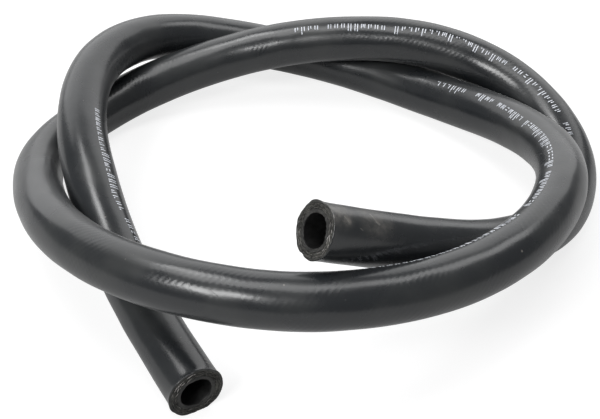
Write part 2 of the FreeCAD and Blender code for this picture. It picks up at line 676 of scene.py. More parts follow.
@dataclass
class HoseRoute:
    """The route that the hose lies along."""

    points: Sequence[tuple[float, float, float]] = ROUTE
    resolution: int = 64

    def control_points(self) -> list[Vector]:
        """The route's points in the part's frame, in metres."""
        rise = 2 * OUTER_RADIUS
        return [Vector((x, y, REST_HEIGHT + lift * rise)) for x, y, lift in self.points]

    def smooth_line(self) -> np.ndarray:
        """The route's smooth spline, as points close together.

        Returns:
            The points, one a row.
        """
        curve = bpy.data.curves.new("hose_route", "CURVE")
        curve.dimensions = "3D"
        spline = curve.splines.new("NURBS")
        places = self.control_points()
        spline.points.add(len(places) - 1)
        for point, place in zip(spline.points, places):
            point.co = (*place, 1.0)
        spline.order_u = 3
        spline.use_endpoint_u = True
        spline.resolution_u = self.resolution
        curve.resolution_u = self.resolution
        holder = bpy.data.objects.new("hose_route", curve)
        bpy.context.scene.collection.objects.link(holder)
        bpy.context.view_layer.update()
        mesh = bpy.data.meshes.new_from_object(holder)
        line = np.array([vertex.co for vertex in mesh.vertices], float)
        bpy.data.objects.remove(holder)
        bpy.data.curves.remove(curve)
        bpy.data.meshes.remove(mesh)
        return line


class CentreLine:
    """The hose's centre line by its length, with a frame that turns but never twists.

    STEP is how far apart its stations are, and the reaches are how many of them on each
    side a tangent and a bend are averaged over.
    """

    STEP = 0.5 * MM
    TANGENT_REACH = 4
    BEND_REACH = 40

    def __init__(self, points: np.ndarray) -> None:
        """Measure the line and carry a frame along it.

        Args:
            points: Points along the line, one a row.
        """
        runs = np.linalg.norm(np.diff(points, axis=0), axis=1)
        reached = np.concatenate([[0.0], np.cumsum(runs)])
        self.length = float(reached[-1])
        self.stations = np.linspace(0.0, self.length, int(self.length / self.STEP) + 1)
        self.centres = self._by_length(points, reached)
        tangents = np.gradient(self.centres, self.stations, axis=0)
        tangents = self._smooth(tangents, self.TANGENT_REACH)
        self.tangents = tangents / np.linalg.norm(tangents, axis=1)[:, None]
        bends = np.gradient(self.tangents, self.stations, axis=0)
        self.bends = self._smooth(bends, self.BEND_REACH)
        self.sides = self._carried_sides()
        self.lifts = np.cross(self.tangents, self.sides)

    def _by_length(self, points: np.ndarray, reached: np.ndarray) -> np.ndarray:
        """The points' places at the stations."""
        columns = [np.interp(self.stations, reached, column) for column in points.T]
        return np.stack(columns, axis=1)

    @staticmethod
    def _smooth(rows: np.ndarray, reach: int) -> np.ndarray:
        """Rows averaged with their neighbours up to `reach` away.

        Args:
            rows: One row for each station.
            reach: How many neighbours count on each side.

        Returns:
            The averaged rows.
        """
        kernel = np.hanning(2 * reach + 3)[1:-1]
        padded = np.pad(rows, ((reach, reach), (0, 0)), mode="edge")
        columns = [np.convolve(c, kernel / kernel.sum(), mode="valid") for c in padded.T]
        return np.stack(columns, axis=1)

    def _carried_sides(self) -> np.ndarray:
        """A direction across the hose at each station, carried along without twist.

        Returns:
            One direction for each station.
        """
        side = np.cross(self.tangents[0], (0.0, 0.0, 1.0))
        sides = []
        for tangent in self.tangents:
            side = side - (side @ tangent) * tangent
            side = side / np.linalg.norm(side)
            sides.append(side)
        return np.array(sides)

    def read(self, rows: np.ndarray, lengths: np.ndarray) -> np.ndarray:
        """Rows of the line at other lengths.

        Args:
            rows: One row for each station.
            lengths: Where to read them, in metres.

        Returns:
            The rows at those lengths.
        """
        flat = np.clip(np.asarray(lengths, float).ravel(), 0.0, self.length)
        columns = [np.interp(flat, self.stations, column) for column in rows.T]
        return np.stack(columns, axis=1).reshape(*np.shape(lengths), 3)

    def angle_of(self, lengths: np.ndarray, directions: np.ndarray) -> np.ndarray:
        """The angle in the carried frame at which a direction lies.

        Args:
            lengths: Places along the hose.
            directions: One direction for each.

        Returns:
            The angles, in radians.
        """
        across = (directions * self.read(self.sides, lengths)).sum(-1)
        above = (directions * self.read(self.lifts, lengths)).sum(-1)
        return np.arctan2(above, across)

    def angle_from_up(self, lengths: np.ndarray, turned: np.ndarray) -> np.ndarray:
        """The carried frame's angle of what lies at an angle from straight up.

        Args:
            lengths: Places along the hose.
            turned: Angles from straight up, towards the right of the way to the far end.

        Returns:
            The angles in the carried frame, in radians.
        """
        up = np.zeros((*np.shape(lengths), 3))
        up[..., 2] = 1.0
        right = np.cross(self.read(self.tangents, lengths), up)
        right /= np.linalg.norm(right, axis=-1)[..., None]
        above = np.cross(right, self.read(self.tangents, lengths))
        turned = np.asarray(turned)[..., None]
        return self.angle_of(lengths, above * np.cos(turned) + right * np.sin(turned))


# The wall's layers


class RingNoise:
    """Smooth seeded unevenness round a ring, or over the unrolled surface."""

    def __init__(self, seed: int, orders: Sequence[int], waves: float = 0.0) -> None:
        """Draw the waves.

        Args:
            seed: The seed of the draw.
            orders: How many times each wave goes round.
            waves: The most waves a metre along the hose.
        """
        drawn = np.random.default_rng(seed)
        self.orders = np.array(orders, float)
        self.phases = drawn.uniform(0.0, math.tau, len(orders))
        self.runs = drawn.uniform(-1.0, 1.0, len(orders)) * waves * math.tau
        self.weights = drawn.uniform(0.5, 1.0, len(orders))
        self.weights /= np.sqrt((self.weights**2).sum())

    def at(self, angles: np.ndarray, lengths: np.ndarray | float = 0.0) -> np.ndarray:
        """The unevenness, mostly from -1.5 to 1.5.

        Args:
            angles: Angles round the hose.
            lengths: Places along it.

        Returns:
            One value for each.
        """
        shape = np.broadcast(angles, lengths).shape
        total = np.zeros(shape)
        for order, phase, run, weight in zip(self.orders, self.phases, self.runs, self.weights):
            total += weight * np.cos(order * angles + run * np.asarray(lengths) + phase)
        return total


@dataclass(frozen=True)
class Lump:
    """A lump in a cut end's rim, or a notch where its height is below nought.

    Its place is in degrees from straight up, towards the right of the way to the far end.
    """

    turned: float
    spread: float
    height: float

    def at(self, turned: np.ndarray) -> np.ndarray:
        """How far it stands out at some angles from straight up."""
        away = (turned - math.radians(self.turned) + math.pi) % math.tau - math.pi
        return self.height * np.exp(-((away / math.radians(self.spread)) ** 2))


@dataclass
class CutEnd:
    """How a knife left one end: its flare, its slant and its unevenness, in metres.

    `lean` is where the cut stands out furthest and `corner` where the squashed ring has a
    corner, both in degrees from straight up. `mouth` is how far the bore is pulled open,
    `lopsided` how much more one side flares, and `twist` how far the wave turns on its way
    across the wall, in radians. The orders are how many times each wave goes round.
    """

    OUTLINE_ORDERS: ClassVar[tuple[int, ...]] = (2, 3, 4, 5, 7, 9)
    WAVE_ORDERS: ClassVar[tuple[int, ...]] = (2, 3, 5, 8, 13, 21)

    seed: int
    flare: float
    outline: float
    wave: float
    slant: float
    lean: float = 0.0
    square: float = 0.0
    corner: float = 45.0
    lumps: tuple[Lump, ...] = ()
    mouth: float = 0.0
    lopsided: float = 0.3
    reach: float = 1.1 * MM
    fade: float = 4.0 * MM
    square_fade: float = 8.0 * MM
    twist: float = 2.0
    up: float = 0.0

    def __post_init__(self) -> None:
        """Draw the end's unevenness."""
        self.outline_noise = RingNoise(self.seed, self.OUTLINE_ORDERS)
        self.wave_noise = RingNoise(self.seed + 1, self.WAVE_ORDERS)

    def widen(self, away: np.ndarray, angles: np.ndarray, share: np.ndarray) -> np.ndarray:
        """How far the wall stands out near the cut.

        Args:
            away: Distances from the cut.
            angles: Angles in the carried frame.
            share: Radii, as shares of the hose's.

        Returns:
            What is added to each radius.
        """
        turned = angles - self.up
        lopsided = 1.0 - self.lopsided * np.sin(turned)
        flare = self.flare * lopsided * np.exp(-away / self.reach)
        outline = self.outline * np.exp(-away / self.fade) * self.outline_noise.at(angles)
        square = self.square * np.cos(4.0 * (turned - math.radians(self.corner)))
        lumps = sum((lump.at(turned) for lump in self.lumps), np.zeros(turned.shape))
        rim = (flare + outline) * share**2 + lumps * share**5 * np.exp(-away / self.reach)
        bore = self.mouth * (1.0 - share) / (1.0 - BORE_SHARE) * np.exp(-away / self.fade)
        return rim + bore + square * np.exp(-away / self.square_fade)

    def push(self, away: np.ndarray, angles: np.ndarray, share: np.ndarray) -> np.ndarray:
        """How far the cut stands out along the hose.

        Args:
            away: Distances from the cut.
            angles: Angles in the carried frame.
            share: Radii, as shares of the hose's.

        Returns:
            The distances, away from the hose.
        """
        slant = self.slant * share * np.cos(angles - self.up - math.radians(self.lean))
        wave = self.wave * self.wave_noise.at(angles + self.twist * share)
        return (slant + wave) * np.exp(-away / self.fade)


@dataclass
class HoseForm:
    """How the real hose departs from an even round tube, in metres.

    `oval` is how far a bend of the radius `tightest` flattens it, as a share, and `sharpest`
    up to what share of that bend it still grows. The waves are the most waves a metre.
    """

    line: CentreLine
    cuts: dict[HoseEnd, CutEnd]
    oval: float = 0.022
    tightest: float = 46.0 * MM
    sharpest: float = 1.1
    slow_waves: float = 45.0
    quick_waves: float = 115.0
    unevenness: float = 0.06 * MM
    ripple: float = 0.020 * MM
    seed: int = 7
    # Where the hose is thicker: (metres from the front end, how far it reaches, its share).
    swells: tuple[tuple[float, float, float], ...] = (
        (0.095, 0.025, 0.035), (0.298, 0.032, 0.040), (0.840, 0.030, 0.040),
    )

    def __post_init__(self) -> None:
        """Draw the cover's unevenness, and find straight up at each end."""
        self.slow = RingNoise(self.seed, (0, 0, 1, 1, 2, 2, 3, 4, 5), self.slow_waves)
        self.quick = RingNoise(self.seed + 1, (1, 2, 3, 4, 5, 6, 7, 8), self.quick_waves)
        for end, length in ((HoseEnd.FRONT, 0.0), (HoseEnd.COIL, self.line.length)):
            self.cuts[end].up = float(self.line.angle_from_up(np.array(length), 0.0))

    def place(self, lengths: np.ndarray, radii: np.ndarray, angles: np.ndarray,
              proud: np.ndarray | float = 0.0) -> np.ndarray:
        """Put points of the straight hose where they are on the real one.

        Args:
            lengths: Places along the hose.
            radii: Distances from its centre line.
            angles: Angles in the carried frame.
            proud: How far each stands out of its end's face.

        Returns:
            The points in the part's frame, one to the last axis.
        """
        line = self.line
        lengths, radii, angles = np.broadcast_arrays(lengths, radii, angles)
        share = radii / OUTER_RADIUS
        bends = line.read(line.bends, lengths)
        strength = np.linalg.norm(bends, axis=-1) * self.tightest
        inward = line.angle_of(lengths, bends)
        oval = self.oval * np.clip(strength, 0.0, self.sharpest) ** 2
        radii = radii * (1.0 - oval * np.cos(2.0 * (angles - inward)))
        radii = radii + self.unevenness * self.slow.at(angles, lengths) * share
        radii = radii + self.ripple * self.quick.at(angles, lengths) * share**4
        for centre, reach, swell in self.swells:
            radii = radii * (1.0 + swell * np.exp(-(((lengths - centre) / reach) ** 2)))
        shift = np.zeros(lengths.shape)
        for end, sign, away in (
            (HoseEnd.FRONT, -1.0, lengths),
            (HoseEnd.COIL, 1.0, line.length - lengths),
        ):
            cut = self.cuts[end]
            radii = radii + cut.widen(away, angles, share)
            shift = shift + sign * cut.push(away, angles, share)
            shift = shift + sign * np.where(away < ON_FACE, proud, 0.0)
        across = line.read(line.sides, lengths) * np.cos(angles)[..., None]
        above = line.read(line.lifts, lengths) * np.sin(angles)[..., None]
        along = line.read(line.tangents, lengths) * shift[..., None]
        placed = line.read(line.centres, lengths) + (across + above) * radii[..., None] + along
        placed[..., 2] = np.maximum(placed[..., 2], 0.0)
        return placed


def make_object(name: str, mesh: bpy.types.Mesh) -> bpy.types.Object:
    """Put a mesh in the scene as an object at the origin.

    Args:
        name: The piece's name.
        mesh: Its mesh.

    Returns:
        The object.
    """
    piece = bpy.data.objects.new(name, mesh)
    bpy.context.scene.collection.objects.link(piece)
    return piece


def give_attribute(mesh: bpy.types.Mesh, name: str, rows: np.ndarray) -> None:
    """Give a mesh a number or a vector for each of its points.

    Args:
        mesh: The mesh.
        name: The attribute's name.
        rows: One number or one vector for each point.
    """
    kind, key = ("FLOAT_VECTOR", "vector") if rows.ndim == 2 else ("FLOAT", "value")
    attribute = mesh.attributes.new(name, kind, "POINT")
    attribute.data.foreach_set(key, rows.astype(np.float32).ravel())


@dataclass
class WallLayer:
    """One layer of the hose's wall: a closed tube that runs the hose's whole length.

    The edges of its end faces are rounded. OUTER_EDGE and BORE_EDGE are how far in and how
    far back they go, as shares of `edge`. `sunk` is how deep the face lies in its middle,
    and `tear_slant` how far its tears turn on their way across the wall, in radians.
    """

    OUTER_EDGE: ClassVar[tuple[float, float]] = (0.3, 0.35)
    BORE_EDGE: ClassVar[tuple[float, float]] = (0.4, 0.5)

    layer: Layer
    inside: float
    outside: float
    skin: Any
    cut: Any
    sides: int = 48
    step: float = 3.0 * MM
    fine_step: float = 0.5 * MM
    fine_reach: float = 6.0 * MM
    inner_step: float = 4.0 * MM
    edge: float = 0.05 * MM
    sunk: float = 0.0
    roughness: float = 0.02 * MM
    tears: tuple[int, ...] = (6, 9, 14, 19, 27, 34)
    tear_slant: float = 40.0
    face_rings: int = 4
    seed: int = 11

    def lengths_between(self, start: float, end: float, step: float) -> np.ndarray:
        """Places of rings along the hose, closer together near its ends.

        Args:
            start: Where the rings start.
            end: Where they end.
            step: How far apart they are in the middle.

        Returns:
            The places, in order.
        """
        fine = np.arange(self.fine_step, self.fine_reach - 0.6 * self.fine_step, self.fine_step)
        middle = np.linspace(self.fine_reach, end - start - self.fine_reach,
                             max(2, round((end - start - 2 * self.fine_reach) / step)))
        return start + np.concatenate([fine, middle, (end - start) - fine[::-1]])

    def profile(self, length: float) -> tuple[np.ndarray, np.ndarray, np.ndarray]:
        """The section's outline from the outside round both ends to the bore side.

        Args:
            length: The hose's length.

        Returns:
            Lengths and radii of the rings, and which of them lie on an end face.
        """
        outer = self.lengths_between(0.0, length, self.step)
        inner = self.lengths_between(0.0, length, self.inner_step)[::-1]
        outside, inside = self.outside, self.inside
        outer_in, outer_back = (share * self.edge for share in self.OUTER_EDGE)
        bore_in, bore_back = (share * self.edge for share in self.BORE_EDGE)
        radii = np.linspace(outside - self.edge, inside + bore_in, self.face_rings)
        face = np.ones(len(radii), bool)
        lengths = np.concatenate([
            outer, [length - outer_back], np.full(len(radii), length), [length - bore_back],
            inner, [bore_back], np.zeros(len(radii)), [outer_back],
        ])
        rounded = outside - outer_in
        all_radii = np.concatenate([
            np.full(len(outer), outside), [rounded], radii, [inside],
            np.full(len(inner), inside), [inside], radii[::-1], [rounded],
        ])
        plain = np.zeros(1, bool)
        faces = np.concatenate([
            np.zeros(len(outer), bool), plain, face, plain,
            np.zeros(len(inner), bool), plain, face, plain,
        ])
        return lengths, all_radii, faces

    def relief(self, radii: np.ndarray, angles: np.ndarray) -> np.ndarray:
        """How far each point of an end face stands out of the cut.

        Args:
            radii: Distances from the centre line.
            angles: Angles in the carried frame.

        Returns:
            The heights.
        """
        depth = (radii - self.inside) / (self.outside - self.inside)
        middle = np.sin(math.pi * np.clip(depth, 0.0, 1.0))
        slant = self.tear_slant * radii / OUTER_RADIUS
        torn = RingNoise(self.seed, self.tears).at(angles + slant)
        return -self.sunk * middle + self.roughness * torn

    def build(self, form: HoseForm) -> bpy.types.Object:
        """Make the layer's mesh and dress it.

        Args:
            form: The hose's shape.

        Returns:
            The piece.
        """
        lengths, radii, faces = self.profile(form.line.length)
        angles = np.arange(self.sides) * (math.tau / self.sides)
        proud = self.relief(radii[:, None], angles[None, :]) * faces[:, None]
        points = form.place(lengths[:, None], radii[:, None], angles[None, :], proud)
        mesh = self._grid(points, faces)
        straight = np.stack(np.broadcast_arrays(
            radii[:, None] * np.cos(angles), radii[:, None] * np.sin(angles), lengths[:, None]
        ), axis=-1)
        give_attribute(mesh, STRAIGHT, straight.reshape(-1, 3))
        piece = make_object(f"hose_{self.layer.value}", mesh)
        for finish in (self.skin, self.cut):
            mesh.materials.append(finish)
        LOG.info("%s: %d faces", piece.name, len(mesh.polygons))
        return piece

    def _grid(self, points: np.ndarray, faces: np.ndarray) -> bpy.types.Mesh:
        """A closed mesh of rings, each joined to the next and the last to the first.

        Args:
            points: The points, by ring and by side.
            faces: Which rings lie on an end face.

        Returns:
            The mesh.
        """
        rings, sides = points.shape[:2]
        numbers = np.arange(rings * sides).reshape(rings, sides)
        after, beside = np.roll(numbers, -1, axis=0), np.roll(numbers, -1, axis=1)
        corner = np.roll(after, -1, axis=1)
        quads = np.stack([numbers, beside, corner, after], axis=-1).reshape(-1, 4)
        mesh = bpy.data.meshes.new(f"hose_{self.layer.value}")
        mesh.from_pydata(points.reshape(-1, 3).tolist(), [], quads.tolist())
        cut = (faces & np.roll(faces, -1))[:, None] & np.ones(sides, bool)
        mesh.polygons.foreach_set("material_index", cut.ravel().astype(np.int32))
        mesh.polygons.foreach_set("use_smooth", np.ones(len(quads), bool))
        mesh.validate()
        mesh.update()
        return mesh


# Geometry Nodes


class GeometryGraph(NodeGraph):
    """A Geometry Nodes tree with named inputs, and the way to run it on a mesh."""

    KINDS = {
        float: "NodeSocketFloat",
        int: "NodeSocketInt",
        bpy.types.Object: "NodeSocketObject",
    }

    def __init__(self, name: str, inputs: dict[str, Any]) -> None:
        """Start a tree.

        Args:
            name: The tree's name.
            inputs: Its named inputs and their values.
        """
        tree = bpy.data.node_groups.new(name, "GeometryNodeTree")
        tree.interface.new_socket("Geometry", in_out="INPUT", socket_type="NodeSocketGeometry")
        tree.interface.new_socket("Geometry", in_out="OUTPUT", socket_type="NodeSocketGeometry")
        super().__init__(tree)
        self.values = {}
        for key, value in inputs.items():
            kind = self.KINDS[type(value)]
            socket = tree.interface.new_socket(key, in_out="INPUT", socket_type=kind)
            self.values[socket.identifier] = value
        self.given = self.add("NodeGroupInput").outputs

    def attribute(self, name: str, kind: str) -> Socket:
        """A named attribute's field."""
        node = self.add("GeometryNodeInputNamedAttribute", {"Name": name}, data_type=kind)
        return node.outputs["Attribute"]

    def here(self) -> Any:
        """The parts of each point's place, by the names X, Y and Z."""
        return self.split(self.add("GeometryNodeInputPosition").outputs[0])

    def random(self, low: Any, high: Any, seed: int, kind: str = "FLOAT") -> Socket:
        """A seeded random value for each element.

        Args:
            low: The least value.
            high: The greatest value.
            seed: What is added to the tree's seed.
            kind: The value's type.

        Returns:
            The value's socket.
        """
        least, most, result = {
            "FLOAT_VECTOR": (0, 1, 0), "FLOAT": (2, 3, 1), "INT": (4, 5, 2),
        }[kind]
        base = self.math("ADD", self.given["Seed"], float(seed))
        inputs = {least: low, most: high, "Seed": base}
        return self.add("FunctionNodeRandomValue", inputs, data_type=kind).outputs[result]

    def finish(self, geometry: Socket, finish: bpy.types.Material) -> None:
        """End the tree with real geometry in one finish.

        Args:
            geometry: What the tree has made.
            finish: Its material.
        """
        real = self.add("GeometryNodeRealizeInstances", {"Geometry": geometry})
        smooth = self.add("GeometryNodeSetShadeSmooth", {"Geometry": real.outputs[0]})
        dressed = self.add("GeometryNodeSetMaterial",
                           {"Geometry": smooth.outputs[0], "Material": finish})
        self.add("NodeGroupOutput", {"Geometry": dressed.outputs[0]})

    def run(self, name: str, mesh: bpy.types.Mesh) -> bpy.types.Object:
        """Run the tree on a mesh and keep the result as a plain mesh.

        Args:
            name: The piece's name.
            mesh: What the tree starts from.

        Returns:
            The piece.
        """
        piece = make_object(name, mesh)
        modifier = piece.modifiers.new(self.tree.name, "NODES")
        modifier.node_group = self.tree
        for identifier, value in self.values.items():
            modifier[identifier] = value
        bpy.context.view_layer.update()
        graph = bpy.context.evaluated_depsgraph_get()
        made = bpy.data.meshes.new_from_object(piece.evaluated_get(graph), depsgraph=graph)
        piece.modifiers.clear()
        piece.data = made
        LOG.info("%s: %d faces", piece.name, len(made.polygons))
        return piece


@dataclass
class PrintLine:
    """The printed line along the hose: plain ticks and dashes in uneven groups."""

    # Angle from straight up, by the length from the front end: (metres, degrees).
    turns: Sequence[tuple[float, float]] = (
        (0.0, 52.0), (0.058, 55.0), (0.067, 48.0), (0.076, 39.0), (0.087, 44.0),
        (0.120, 48.0), (0.310, 27.0), (0.333, 20.0), (0.361, 35.0), (0.440, 38.5),
        (0.480, 45.0), (0.600, 56.0), (0.784, 29.0), (0.800, 28.5), (0.817, 34.0),
        (0.8375, 23.0), (0.854, 27.0), (0.8725, 16.0), (0.900, 7.0), (1.052, 0.0),
    )
    zones: Sequence[tuple[float, float]] = ((0.040, 0.118), (0.308, 0.560), (0.782, 0.903))
    pitch: float = 2.45 * MM
    tall: float = 3.1 * MM
    thick: float = 0.05 * MM
    gap_share: float = 0.14
    path_step: float = 1.0 * MM
    bar_step: float = 0.4 * MM
    seed: int = 5
    # The kinds of mark, each of bars as (x, y, width, height): x and width in millimetres,
    # y and height in shares of the line's height.
    kinds: tuple[tuple[tuple[float, float, float, float], ...], ...] = (
        ((-0.50, -0.20, 0.36, 0.60), (0.45, -0.20, 0.36, 0.60)),
        ((-0.62, -0.20, 0.34, 0.60), (0.0, -0.28, 0.34, 0.44), (0.62, -0.20, 0.34, 0.60)),
        ((-0.50, 0.0, 0.36, 1.0), (0.45, -0.20, 0.36, 0.60)),
        ((-0.50, 0.0, 0.36, 1.0), (0.45, 0.0, 0.36, 1.0)),
        ((-0.45, -0.20, 0.36, 0.60), (0.45, -0.30, 0.36, 0.40)),
        ((0.0, -0.06, 1.10, 0.13), (0.0, -0.42, 1.10, 0.13)),
        ((-0.40, -0.42, 0.45, 0.15), (0.45, -0.20, 0.36, 0.60)),
    )

    def path(self, line: CentreLine) -> bpy.types.Mesh:
        """The centre line as a chain of edges that knows its printed side.

        Args:
            line: The hose's centre line.

        Returns:
            The chain.
        """
        lengths = np.arange(0.0, line.length, self.path_step)
        degrees = np.interp(lengths, *zip(*self.turns))
        angles = line.angle_from_up(lengths, np.radians(degrees))
        side = line.read(line.sides, lengths) * np.cos(angles)[:, None]
        side += line.read(line.lifts, lengths) * np.sin(angles)[:, None]
        mesh = bpy.data.meshes.new("print_path")
        edges = [(n, n + 1) for n in range(len(lengths) - 1)]
        mesh.from_pydata(line.read(line.centres, lengths).tolist(), edges, [])
        give_attribute(mesh, INK_SIDE, side)
        inked = np.zeros(len(lengths))
        for start, end in self.zones:
            inked[(lengths >= start) & (lengths <= end)] = 1.0
        give_attribute(mesh, INKED, inked)
        return mesh

    def mark(self, graph: GeometryGraph, boxes: Sequence[tuple[float, float, float, float]]) -> Any:
        """One mark as an instance, made of flat bars.

        Args:
            graph: The nodes.
            boxes: The mark's bars.

        Returns:
            The instance's socket.
        """
        join = graph.add("GeometryNodeJoinGeometry")
        for x, y, wide, high in boxes:
            high, y = high * self.tall, y * self.tall
            box = graph.add("GeometryNodeMeshCube", {
                "Size": (wide * MM, high, self.thick), "Vertices X": 3,
                "Vertices Y": max(2, round(high / self.bar_step) + 1), "Vertices Z": 2,
            })
            moved = graph.add("GeometryNodeTransform", {
                "Geometry": box.outputs["Mesh"], "Translation": (x * MM, y, 0.0),
            })
            graph.tree.links.new(moved.outputs[0], join.inputs[0])
        return graph.add("GeometryNodeGeometryToInstance", {0: join.outputs[0]}).outputs[0]

    def marks(self, graph: GeometryGraph) -> Socket:
        """The kinds of mark, joined as instances to pick from.

        Args:
            graph: The nodes.

        Returns:
            The instances' socket.
        """
        join = graph.add("GeometryNodeJoinGeometry")
        for boxes in self.kinds:
            graph.tree.links.new(self.mark(graph, boxes), join.inputs[0])
        return join.outputs[0]

    def build(self, line: CentreLine, cover: bpy.types.Object,
              finish: bpy.types.Material) -> bpy.types.Object:
        """Print the line on the cover.

        Args:
            line: The hose's centre line.
            cover: The cover that it is printed on.
            finish: The ink.

        Returns:
            The piece.
        """
        graph = GeometryGraph("printed_line", {
            "Pitch": self.pitch, "Count": int(line.length / self.pitch),
            "Gap Share": self.gap_share, "Hose Radius": OUTER_RADIUS,
            "Cover": cover, "Seed": self.seed,
        })
        given = graph.given
        curve = graph.add("GeometryNodeMeshToCurve", {"Mesh": given["Geometry"]}).outputs[0]
        step = graph.combine(given["Pitch"])
        half = graph.vector("MULTIPLY", step, (0.5, 0.5, 0.5))
        row = graph.add("GeometryNodeMeshLine", {
            "Count": given["Count"], "Start Location": half, "Offset": step,
        }, mode="OFFSET").outputs[0]
        along = graph.here()["X"]
        inked = self.sample(graph, curve, graph.attribute(INKED, "FLOAT"), along, "FLOAT")
        kept = graph.math("GREATER_THAN", graph.random(0.0, 1.0, 1), given["Gap Share"])
        shown = graph.math("MULTIPLY", inked.outputs["Value"], kept)
        blank = graph.math("LESS_THAN", shown, 0.5)
        row = graph.add("GeometryNodeDeleteGeometry",
                        {"Geometry": row, "Selection": blank}, domain="POINT").outputs[0]
        pick = graph.random(0, len(self.kinds) - 1, 2, "INT")
        marks = graph.add("GeometryNodeInstanceOnPoints", {
            "Points": row, "Instance": self.marks(graph),
            "Pick Instance": True, "Instance Index": pick,
        }).outputs[0]
        real = graph.add("GeometryNodeRealizeInstances", {"Geometry": marks}).outputs[0]
        laid = self.lay_on_cover(graph, real, curve)
        graph.finish(laid, finish)
        return graph.run("printed_line", self.path(line))

    @staticmethod
    def sample(graph: GeometryGraph, curve: Any, value: Any, length: Any, kind: str) -> Any:
        """Read a value, the place and the tangent of the curve at a length.

        Args:
            graph: The nodes.
            curve: The curve.
            value: The value's field.
            length: Where it is read.
            kind: The value's type.

        Returns:
            The node.
        """
        return graph.add("GeometryNodeSampleCurve", {
            "Curves": curve, "Value": value, "Length": length,
        }, data_type=kind, mode="LENGTH")

    def lay_on_cover(self, graph: GeometryGraph, marks: Any, curve: Any) -> Socket:
        """Bend the flat row of marks along the hose and round it, onto the cover.

        Args:
            graph: The nodes.
            marks: The flat marks.
            curve: The centre line.

        Returns:
            The laid marks.
        """
        here = graph.here()
        side = graph.attribute(INK_SIDE, "FLOAT_VECTOR")
        read = self.sample(graph, curve, side, here["X"], "FLOAT_VECTOR").outputs
        side, radius = read["Value"], graph.given["Hose Radius"]
        cross = graph.vector("CROSS_PRODUCT", read["Tangent"], side)
        angle = graph.math("DIVIDE", here["Y"], radius)
        ahead = graph.scale(side, graph.math("COSINE", angle))
        aside = graph.scale(cross, graph.math("SINE", angle))
        out = graph.vector("NORMALIZE", graph.vector("ADD", ahead, aside))
        guess = graph.vector("ADD", read["Position"], graph.scale(out, radius))
        cover = graph.add("GeometryNodeObjectInfo", {"Object": graph.given["Cover"]})
        nearest = graph.add("GeometryNodeProximity", {
            "Geometry": cover.outputs["Geometry"], "Sample Position": guess,
        }, target_element="FACES").outputs["Position"]
        place = graph.vector("ADD", nearest, graph.scale(out, here["Z"]))
        return graph.add("GeometryNodeSetPosition",
                         {"Geometry": marks, "Position": place}).outputs[0]


